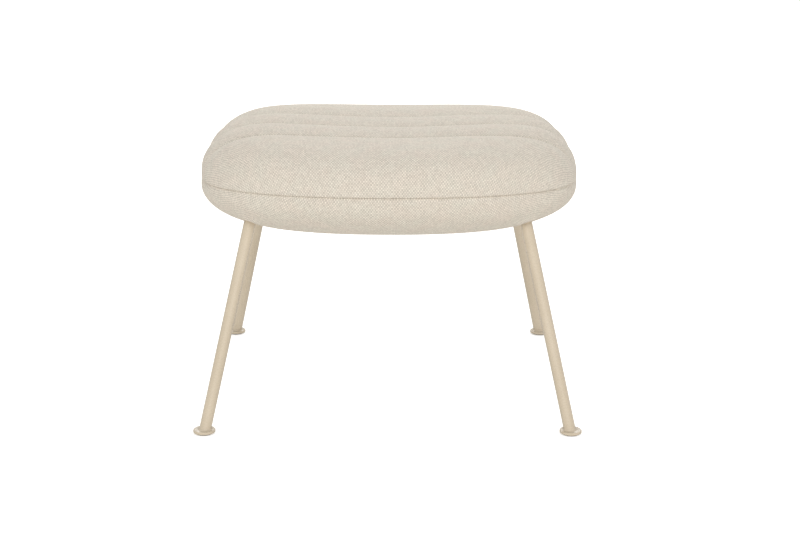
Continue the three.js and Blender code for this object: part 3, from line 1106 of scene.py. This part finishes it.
foot_welds = [weld_foot(*corner) for corner in corners_named]
print("foot welds", len(foot_welds))

# %% [markdown]
# ## Cross bars and their welds
#
# Two flat bars lie on the board inside the foam and join the rails, so that the board can be screwed to
# them. They are copies of the packed solids with their sharp edges broken by a bevel, because rolled
# bar never has a knife edge. The weld beads are swept with a ripple, as a torch leaves it.

# %% Bars with broken edges
bar_edge = 0.0006
bevel_angle = math.radians(40)
flat_angle = math.radians(1)


def softened_bar(end):
    node = f"cross_bar_{end}"
    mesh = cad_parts[node].data.copy()
    mesh.name = f"flat_bar_{end}"
    edit = bmesh.new()
    edit.from_mesh(mesh)
    bmesh.ops.remove_doubles(edit, verts=edit.verts, dist=merge_distance)
    bmesh.ops.dissolve_limit(edit, angle_limit=flat_angle, verts=edit.verts, edges=edit.edges)
    sharp = [edge for edge in edit.edges if edge.calc_face_angle(0) > bevel_angle]
    bmesh.ops.bevel(edit, geom=sharp, offset=bar_edge, segments=2, profile=0.5, affect="EDGES")
    edit.to_mesh(mesh)
    edit.free()
    mesh.polygons.foreach_set("use_smooth", [False] * len(mesh.polygons))
    mesh.materials.clear()
    return place_piece(f"flat_bar_{end}", mesh, node)


bars = [softened_bar(end) for end, _ in ends_named]
print("bars", [len(piece.data.polygons) for piece in bars])

# %% Bar welds
bead_radius = 0.0022
bead_pitch = 0.0019
bead_sides = 14
bead_steps = 120
ripple_share = 0.12
bead_sunk = bead_radius * 0.35
bead_raised = bead_radius * 0.25
bead_inset = bead_radius * 0.6
cap_power = 16
cap_least = 0.02


def weld_bar(name, side, bar_low, bar_high):
    """A rippled bead in the corner between the top of a bar and its rail."""
    bead_x = side * (rail_x - tube_radius - bead_sunk)
    start = bar_low.y + bead_inset
    end = bar_high.y - bead_inset
    rings = []
    for i in range(bead_steps + 1):
        share = i / bead_steps
        y = start + (end - start) * share
        cap = math.sqrt(max(1 - (2 * share - 1) ** cap_power, cap_least))
        radius = bead_radius * cap * (1 + ripple_share * abs(math.sin(math.pi * y / bead_pitch)))
        centre = Vector((bead_x, y, bar_high.z + bead_raised))
        rings.append(ring_at(centre, Vector((0, 1, 0)), radius, bead_sides, Vector((side, 0, 0))))
    return tube_piece(name, rings)


bar_welds = []
for end, _ in ends_named:
    bar_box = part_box(f"cross_bar_{end}")
    for side_name, side in sides_named:
        bar_welds.append(weld_bar(f"bar_weld_{end}_{side_name}", side, *bar_box))
print("bar welds", len(bar_welds))

# %% [markdown]
# ## Screws and washers
#
# Four button-head screws with hexagon sockets go up through the board and the bars into tee nuts. Their
# heads show from below. The socket belongs to the same turned profile: in it the radius follows a
# hexagon.

# %% Sizes of the screws and washers
screw_low, screw_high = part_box("seat_screw_front_right")
washer_low, washer_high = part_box("washer_front_right")
screw_x = (screw_low.x + screw_high.x) / 2
screw_y = -(screw_low.y + screw_high.y) / 2
head_radius = (screw_high.x - screw_low.x) / 2
head_height = 0.0033
head_skirt = head_height * 0.15
head_top = washer_low.z - touch_gap
shank_radius = 0.003
screw_length = screw_high.z - head_top
socket_half = 0.002
socket_depth = 0.002
head_flat = socket_half * 1.35
dome_parts = 8
washer_radius = (washer_high.x - washer_low.x) / 2
washer_thickness = washer_high.z - washer_low.z
washer_hole = 0.0033
print("screws at", round(screw_x, 4), round(screw_y, 4), "length", round(screw_length, 4))


# %% Profile of the screw
def hexagon(radius, angle):
    """A radius that follows a hexagon inside the socket and a circle outside it."""
    if radius > socket_half:
        return radius
    turn = (angle + math.pi / 6) % (math.pi / 3) - math.pi / 6
    return radius / math.cos(turn)


def screw_profile():
    """The button head, from the bottom of its socket out over the dome and up the shank."""
    socket_end = socket_depth - head_height
    profile = [(centre_radius, socket_end), (socket_half, socket_end), (socket_half, -head_height)]
    for i in range(dome_parts + 1):
        angle = math.pi / 2 * i / dome_parts
        radius = head_flat + (head_radius - head_flat) * math.sin(angle)
        profile.append((radius, -head_skirt - (head_height - head_skirt) * math.cos(angle)))
    profile += [(head_radius, 0), (shank_radius, 0)]
    return profile + [(shank_radius, screw_length), (centre_radius, screw_length)]


head_profile = screw_profile()
print("points of the screw's profile", len(head_profile))

# %% Screws and washers
washer_profile = [
    (washer_hole, 0),
    (washer_radius, 0),
    (washer_radius, washer_thickness),
    (washer_hole, washer_thickness),
    (washer_hole, 0),
]
head_place = Vector((screw_x, screw_y, head_top))
washer_place = Vector((screw_x, screw_y, washer_low.z))
screws = []
washers = []
for corner in corners_named:
    screw = turned_at(corner, "screw", "seat_screw", head_profile, head_place, hexagon)
    screws.append(screw)
    washers.append(turned_at(corner, "ring", "washer", washer_profile, washer_place))
print("screws", len(screws), "washers", len(washers))

# %% [markdown]
# ## The dust cover and its staples
#
# A thin black sheet closes the underside. It is stapled every few centimetres, and between the staples
# it lifts a little off the hem. A cloth simulation would do the same, but the lift is less than a
# millimetre, and a formula places it exactly between the staples.

# %% Sizes of the dust cover
dust_low, dust_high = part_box("dust_cover")
dust_steps = 360
dust_rows = 40
dust_outline_steps = 4001
staple_count = 34
staple_inset = 0.007
dust_sag = 0.0009
sag_spread = 0.4
sag_length = 0.07
sag_seed = 8
sag_power = 4
dust_lift = 0.00045
lift_band = 0.2
dust_sheet = 0.0005
screw_pull = 0.030
print("flat size of the dust cover", round(2 * dust_high.x, 4), round(2 * dust_high.y, 4))


# %% The dust cover
def dust_outline(angles):
    x, y = outline_point(angles)
    return x / half_width * dust_high.x, y / half_depth * dust_high.y


def dust_edge(count):
    """Points at equal distances along the sheet's edge."""
    fine = np.linspace(0, 2 * math.pi, dust_outline_steps)
    lengths = running_length(*dust_outline(fine))
    return dust_outline(np.interp(np.arange(count) / count * lengths[-1], lengths, fine))


def stretch_dust_cover():
    edge_x, edge_y = dust_edge(dust_steps)
    shares = np.sin(np.linspace(hub_share, math.pi / 2, dust_rows))[:, None]
    x = edge_x * shares
    y = edge_y * shares
    between = np.abs(np.sin(math.pi * staple_count * np.arange(dust_steps) / dust_steps))
    near_edge = smooth_share((shares - (1 - lift_band)) / lift_band)
    level = np.stack([x, y, np.zeros_like(x)], -1)
    spread = 1 - sag_spread + sag_spread * field(level, sag_length, sag_seed)
    from_screw = np.hypot(np.abs(x) - screw_x, np.abs(y) - screw_y)
    free = smooth_share((from_screw - washer_radius) / screw_pull)
    sag = dust_sag * (1 - shares**sag_power) * spread * free
    bottom = np.stack([x, y, dust_low.z + touch_gap - dust_lift * between * near_edge - sag], -1)
    rings = np.concatenate([bottom, bottom[::-1] + np.array([0, 0, dust_sheet])])
    faces = tube_faces(len(rings), dust_steps)
    piece = new_piece("stapled_sheet", rings.reshape(-1, 3), faces, "dust_cover")
    return piece


dust_cover = stretch_dust_cover()
print("dust cover", len(dust_cover.data.polygons))

# %% Staples
staple_width = 0.010
staple_wire = 0.0009
staple_height = 0.001
staple_bevel = staple_wire / 4


def drive_staples():
    """One flat-crowned staple at each low point of the sheet's edge, in one piece of many solids."""
    edit = bmesh.new()
    edge_x, edge_y = dust_edge(staple_count)
    onward_x = np.roll(edge_x, -1) - np.roll(edge_x, 1)
    onward_y = np.roll(edge_y, -1) - np.roll(edge_y, 1)
    size = Matrix.Diagonal((staple_width, staple_wire, staple_height, 1))
    for x, y, ahead_x, ahead_y in zip(edge_x, edge_y, onward_x, onward_y):
        along = Vector((ahead_x, ahead_y, 0)).normalized()
        inward = Vector((-along.y, along.x, 0))
        centre = Vector((x, y, dust_low.z)) + inward * staple_inset
        turn = Matrix((along, inward, Vector((0, 0, 1)))).transposed().to_4x4()
        bmesh.ops.create_cube(edit, size=1, matrix=Matrix.Translation(centre) @ turn @ size)
    edges = list(edit.edges)
    bmesh.ops.bevel(edit, geom=edges, offset=staple_bevel, segments=2, profile=0.5, affect="EDGES")
    mesh = bpy.data.meshes.new("staples")
    edit.to_mesh(mesh)
    edit.free()
    return place_piece("staples", mesh)


staples = drive_staples()
print("staples", staple_count)

# %% [markdown]
# ## The weave group
#
# Effects that several materials could share are node groups with named sockets. The cloth is a plain
# weave: each yarn goes over one and under the next, so light warp and darker weft show in turn like a
# chequerboard. Where a warp yarn is on top the height follows its round section across, and dips
# towards both ends. The weft does the same, turned by a quarter. The shade drifts along each yarn and
# jumps a little from crossing to crossing, which makes the cloth look heathered.

# %% Sizes of the weave
cm = 0.01
warp_pitch = 0.00195
weft_pitch = 0.00232
yarn_wander = 0.0006
wander_length = 0.011
slub_length = 0.012
wander_gain = 4.0
weft_slice = 0.3
warp_stride = 7.31
weft_stride = 5.77
yarn_power = 0.6
jump_share = 0.6
print("crossings in a square centimetre", round(cm * cm / (warp_pitch * weft_pitch)))

# %% A new group
float_socket = "NodeSocketFloat"


def new_group(name, inputs, outputs):
    """A node group with named sockets. inputs maps a name to its kind and default."""
    tree = bpy.data.node_groups.new(name, "ShaderNodeTree")
    for socket_name, (kind, value) in inputs.items():
        socket = tree.interface.new_socket(socket_name, in_out="INPUT", socket_type=kind)
        if value is not None:
            socket.default_value = value
    for socket_name in outputs:
        tree.interface.new_socket(socket_name, in_out="OUTPUT", socket_type=float_socket)
    entry = tree.nodes.new("NodeGroupInput")
    leave = tree.nodes.new("NodeGroupOutput")
    return Graph(tree), entry.outputs, leave.inputs


# %% Yarns of the weave
def wandering_lines(g, entry):
    """The place across the cloth and along it, with the small wander of each yarn."""
    place = entry["Place"]
    per_wander = g.math("DIVIDE", 1.0, entry["Wander Length"])
    reach = g.math("MULTIPLY", entry["Wander"], wander_gain)
    split = g.node("ShaderNodeSeparateXYZ", {0: place})
    turned = g.join(split.outputs[1], split.outputs[0], weft_slice)
    lines = []
    for source, line in ((place, split.outputs[0]), (turned, split.outputs[1])):
        drift = g.math("SUBTRACT", g.noise(source, per_wander, 1.0), 0.5)
        lines.append(g.math("MULTIPLY_ADD", drift, reach, line))
    return lines


def yarn_heights(g, yarns):
    """The height of the warp and of the weft: round across a yarn, and lower towards both ends."""
    bulges = [g.math("SINE", g.math("MULTIPLY", g.math("FRACT", yarn), math.pi)) for yarn in yarns]
    heights = []
    for bulge, other in (bulges, bulges[::-1]):
        section = g.math("POWER", bulge, yarn_power)
        heights.append(g.math("MULTIPLY", section, g.math("MULTIPLY_ADD", other, 0.5, 0.5)))
    return heights


def yarn_shade(g, entry, lines, crossing, over):
    """A shade that drifts along each yarn and jumps a little from crossing to crossing."""
    per_slub = g.math("DIVIDE", 1.0, entry["Slub Length"])
    across, along = [g.math("MULTIPLY", line, per_slub) for line in lines]
    warp_yarn, weft_yarn = crossing
    warp_place = g.join(g.math("MULTIPLY", warp_yarn, warp_stride), along)
    weft_place = g.join(across, g.math("MULTIPLY", weft_yarn, weft_stride))
    slub = g.blend(over, g.noise(warp_place, 1.0), g.noise(weft_place, 1.0))
    place = {"Vector": g.join(warp_yarn, weft_yarn)}
    jump = g.node("ShaderNodeTexWhiteNoise", place, noise_dimensions="3D").outputs["Value"]
    return g.blend(jump_share, slub, jump)


# %% Build the weave group
def build_weave():
    inputs = {
        "Place": ("NodeSocketVector", None),
        "Warp Pitch": (float_socket, warp_pitch),
        "Weft Pitch": (float_socket, weft_pitch),
        "Wander": (float_socket, yarn_wander),
        "Wander Length": (float_socket, wander_length),
        "Slub Length": (float_socket, slub_length),
    }
    g, entry, leave = new_group("heather_weave", inputs, ["Height", "Shade", "Warp"])
    lines = wandering_lines(g, entry)
    pitches = (entry["Warp Pitch"], entry["Weft Pitch"])
    yarns = [g.math("DIVIDE", line, pitch) for line, pitch in zip(lines, pitches)]
    crossing = [g.math("FLOOR", yarn) for yarn in yarns]
    over = g.math("FLOORED_MODULO", g.math("ADD", *crossing), 2.0)
    g.feed(leave["Height"], g.blend(over, *yarn_heights(g, yarns)))
    g.feed(leave["Shade"], yarn_shade(g, entry, lines, crossing, over))
    g.feed(leave["Warp"], over)
    return g.tree


weave_group = build_weave()
print("weave group", len(weave_group.nodes), "nodes")

# %% [markdown]
# ## The mottle group
#
# Cloth, powder coat, zinc and plastic all vary a little from place to place. This group gives one broad
# and one fine value from the place on the object, for a material to use as it likes.

# %% Build the mottle group
broad_size = 0.06
fine_size = 0.0012


def build_mottle():
    inputs = {"Broad Size": (float_socket, broad_size), "Fine Size": (float_socket, fine_size)}
    g, entry, leave = new_group("mottle", inputs, ["Broad", "Fine"])
    place = g.place()
    for word, detail in (("Broad", 3.0), ("Fine", 1.0)):
        g.feed(leave[word], g.noise(place, g.math("DIVIDE", 1.0, entry[f"{word} Size"]), detail))
    return g.tree


mottle_group = build_mottle()
print("mottle group", len(mottle_group.nodes), "nodes")


# %% Place a group and finish a material
def placed(graph, group, **values):
    node = graph.node("ShaderNodeGroup", node_tree=group)
    for key, value in values.items():
        graph.feed(node.inputs[key.replace("_", " ")], value)
    return node.outputs


def mottled(graph, broad, fine):
    outputs = placed(graph, mottle_group, Broad_Size=broad, Fine_Size=fine)
    return outputs["Broad"], outputs["Fine"]


def finish_surface(graph, shader, colour, height, relief, strength=0.5, roughness=None):
    """Feeds the colour, the bump of a height and, where it varies, the roughness."""
    graph.feed(shader.inputs["Base Color"], colour)
    bump = {"Height": height, "Distance": relief, "Strength": strength}
    graph.feed(shader.inputs["Normal"], graph.node("ShaderNodeBump", bump).outputs[0])
    if roughness is not None:
        graph.feed(shader.inputs["Roughness"], roughness)


# %% [markdown]
# ## Upholstery cloth
#
# The warp is cream and the weft is greige, and each goes from a lighter to a darker shade of itself.
# Gaps between the yarns are a little darker, because light doesn't reach them, and the cloth is
# broadly uneven as undyed wool is. A faint sheen stands for the short fibres that catch light at the
# rim.

# %% The cloth material
warp_light = (0.90, 0.831, 0.733, 1)
warp_dark = (0.785, 0.72, 0.63, 1)
weft_light = (0.725, 0.664, 0.58, 1)
weft_dark = (0.61, 0.555, 0.482, 1)
cool_patch = (0.985, 1.0, 0.99, 1)
warm_patch = (1.0, 0.985, 0.975, 1)
cloth_sheen = 0.05
shade_reach = 0.25
patch_reach = 0.15
cloth_patch_size = 0.022
fuzz_size = 0.0007
yarn_height = 0.0003
gap_shade = 0.80
gap_top = 0.7
fuzz_share = 0.35


def cloth_material():
    material, g, shader = new_material("heathered_cloth", Roughness=0.92, Specular_IOR_Level=0.15)
    g.feed(shader.inputs["Sheen Weight"], cloth_sheen)
    g.feed(shader.inputs["Sheen Roughness"], 0.5)
    place = g.node("ShaderNodeUVMap", uv_map="cloth").outputs[0]
    weave = placed(g, weave_group, Place=place)
    broad, fine = mottled(g, cloth_patch_size, fuzz_size)
    shade = g.stretch(weave["Shade"], shade_reach)
    warp = g.colour(shade, warp_light, warp_dark)
    weft = g.colour(shade, weft_light, weft_dark)
    tint = g.colour(g.stretch(broad, patch_reach), cool_patch, warm_patch)
    colour = g.colour(1.0, g.colour(weave["Warp"], warp, weft), tint, "MULTIPLY")
    gap = g.spread(weave["Height"], 0.0, gap_top, gap_shade, 1.0)
    colour = g.colour(1.0, colour, g.join(gap, gap, gap), "MULTIPLY")
    fuzz = g.math("MULTIPLY_ADD", fine, fuzz_share, weave["Height"])
    finish_surface(g, shader, colour, fuzz, yarn_height, strength=0.9)
    return material


# %% [markdown]
# ## Powder coat
#
# The frame is sprayed with beige powder and baked. The coat flows a little as it melts, so it has a
# fine orange peel that breaks up reflections, and a satin gloss. Its colour is darker where it is seen
# at a low angle, along both edges of each leg. This is painted shade that stands in for dark reflections
# there.

# %% The powder coat material
coat_colour = (0.68, 0.585, 0.45, 1)
coat_shadow = (0.65, 0.555, 0.42, 1)
# The colour along the rims of the legs is painted shade, for the dark reflections seen at a low angle.
coat_painted_edge_shade = (0.40, 0.345, 0.265, 1)
painted_shade_falloff = 2.4
coat_patch_size = 0.05
peel_size = 0.0016
peel_height = 0.00003
coat_gloss = (0.24, 0.32)
gloss_reach = 0.2


def coat_material():
    material, g, shader = new_material("beige_powder_coat", Specular_IOR_Level=0.5)
    broad, fine = mottled(g, coat_patch_size, peel_size)
    colour = g.colour(g.stretch(broad, patch_reach), coat_colour, coat_shadow)
    # Painted shade: the colour darkens towards the edges, where the surface is seen at a low angle.
    facing = g.node("ShaderNodeLayerWeight", {"Blend": 0.5}).outputs["Facing"]
    colour = g.colour(g.math("POWER", facing, painted_shade_falloff), colour, coat_painted_edge_shade)
    gloss = g.stretch(fine, gloss_reach, *coat_gloss)
    finish_surface(g, shader, colour, fine, peel_height, roughness=gloss)
    return material


# %% [markdown]
# ## The pieces that show from below
#
# Zinc plate is a bright, slightly yellow metal with a dull bloom. The glide is moulded nylon. The dust
# cover is spun-bonded: fibres pressed together with a grid of small welded dots. Plywood shows grain
# on its faces and stripes of crossed veneer at its edge. Foam is full of open cells.

# %% Zinc and nylon
zinc_colour = (0.62, 0.62, 0.6, 1)
zinc_bloom = (0.5, 0.5, 0.49, 1)
bloom_size = 0.006
zinc_grain = 0.0005
zinc_relief = 0.00002
zinc_gloss = (0.28, 0.46)
glide_colour = (0.045, 0.04, 0.034, 1)
glide_worn = (0.075, 0.068, 0.06, 1)
worn_size = 0.008
nylon_grain = 0.0006
nylon_relief = 0.00004
nylon_gloss = (0.45, 0.62)


def zinc_material():
    material, g, shader = new_material("zinc_plate", Metallic=0.9)
    broad, fine = mottled(g, bloom_size, zinc_grain)
    colour = g.colour(broad, zinc_colour, zinc_bloom)
    gloss = g.stretch(broad, gloss_reach, *zinc_gloss)
    finish_surface(g, shader, colour, fine, zinc_relief, roughness=gloss)
    return material


def plastic_material():
    material, g, shader = new_material("glide_nylon")
    broad, fine = mottled(g, worn_size, nylon_grain)
    colour = g.colour(broad, glide_colour, glide_worn)
    gloss = g.stretch(fine, gloss_reach, *nylon_gloss)
    finish_surface(g, shader, colour, fine, nylon_relief, roughness=gloss)
    return material


# %% Spun-bonded sheet
sheet_colour = (0.018, 0.018, 0.02, 1)
sheet_fibre = (0.05, 0.05, 0.054, 1)
dot_spacing = 0.0022
dot_depth = 0.00015
dot_power = 3.0
fibres_per_metre = 900.0


def sheet_material():
    material, g, shader = new_material("spun_bonded_sheet", Roughness=0.85)
    place = g.place()
    split = g.node("ShaderNodeSeparateXYZ", {0: place})
    waves = []
    for axis in range(2):
        turn = g.math("MULTIPLY", split.outputs[axis], 2 * math.pi / dot_spacing)
        waves.append(g.math("MULTIPLY_ADD", g.math("SINE", turn), 0.5, 0.5))
    dots = g.math("POWER", g.math("MULTIPLY", *waves), dot_power)
    fibres = g.noise(place, fibres_per_metre, detail=4.0, roughness=0.7)
    height = g.math("SUBTRACT", fibres, dots)
    colour = g.colour(height, sheet_colour, sheet_fibre)
    finish_surface(g, shader, colour, height, dot_depth, strength=0.8)
    return material


# %% Wood and foam
veneer_light = (0.66, 0.47, 0.27, 1)
veneer_dark = (0.46, 0.29, 0.14, 1)
veneer_thickness = 0.0015
veneer_share = 0.3
grain_relief = 0.0002
grains_per_metre = 260.0
grain_stretch = 0.08
foam_light = (0.87, 0.81, 0.66, 1)
# The darker foam colour is painted shade in the hollows of the cells.
foam_painted_hollow_shade = (0.74, 0.66, 0.48, 1)
cell_depth = 0.0004
cells_per_metre = 700.0


def plywood_material():
    material, g, shader = new_material("birch_plywood", Roughness=0.65)
    x, y, z = g.node("ShaderNodeSeparateXYZ", {0: g.place()}).outputs
    long_place = g.join(g.math("MULTIPLY", x, grain_stretch), y, z)
    grain = g.noise(long_place, grains_per_metre, detail=5.0, roughness=0.6)
    layer = g.math("FLOOR", g.math("DIVIDE", z, veneer_thickness))
    crossed = g.math("FLOORED_MODULO", layer, 2.0)
    shade = g.blend(veneer_share, grain, crossed)
    colour = g.colour(shade, veneer_light, veneer_dark)
    finish_surface(g, shader, colour, grain, grain_relief, strength=0.4)
    return material


def foam_material():
    material, g, shader = new_material("open_foam", Roughness=0.95)
    inputs = {"Vector": g.place(), "Scale": cells_per_metre}
    cells = g.node("ShaderNodeTexVoronoi", inputs).outputs["Distance"]
    # Painted shade: the colour is darker in the cells' hollows, where the bump is lowest.
    finish_surface(g, shader, g.colour(cells, foam_painted_hollow_shade, foam_light), cells, cell_depth, strength=0.8)
    return material


# %% [markdown]
# ## Put the materials on
#
# The pieces made here get a material on their mesh. The board and the tee nuts are packed solids, whose
# meshes stay as they are, so theirs sits on the object's own slots.


# %% Put the materials on
def coat_all(pieces, material):
    for piece in pieces:
        piece.data.materials.clear()
        piece.data.materials.append(material)


def repaint_node(node, material):
    """A packed solid keeps its mesh and gets the material on its own slots."""
    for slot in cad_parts[node].material_slots:
        slot.link = "OBJECT"
        slot.material = material


zinc = zinc_material()
coat_all(covers, cloth_material())
coat_all([*tubes, *discs, *foot_welds, *bars, *bar_welds], coat_material())
coat_all([*screws, *washers, staples], zinc)
coat_all(glides, plastic_material())
coat_all([dust_cover], sheet_material())
coat_all([foam], foam_material())
repaint_node("seat_board", plywood_material())
for corner_name, _, _ in corners_named:
    repaint_node(f"tee_nut_{corner_name}", zinc)
print("materials", len(bpy.data.materials))

# %% [markdown] ## Check the sizes and finish  The dressed footstool has to stay inside the box of the
# packed part, apart from a few millimetres of soft fabric.

# %% Write the sizes
dressed_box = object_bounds()
spans = [np.subtract(high, low) for low, high in (cad_box, dressed_box)]
print("growth over the CAD box, in metres", [round(float(value), 4) for value in spans[1] - spans[0]])
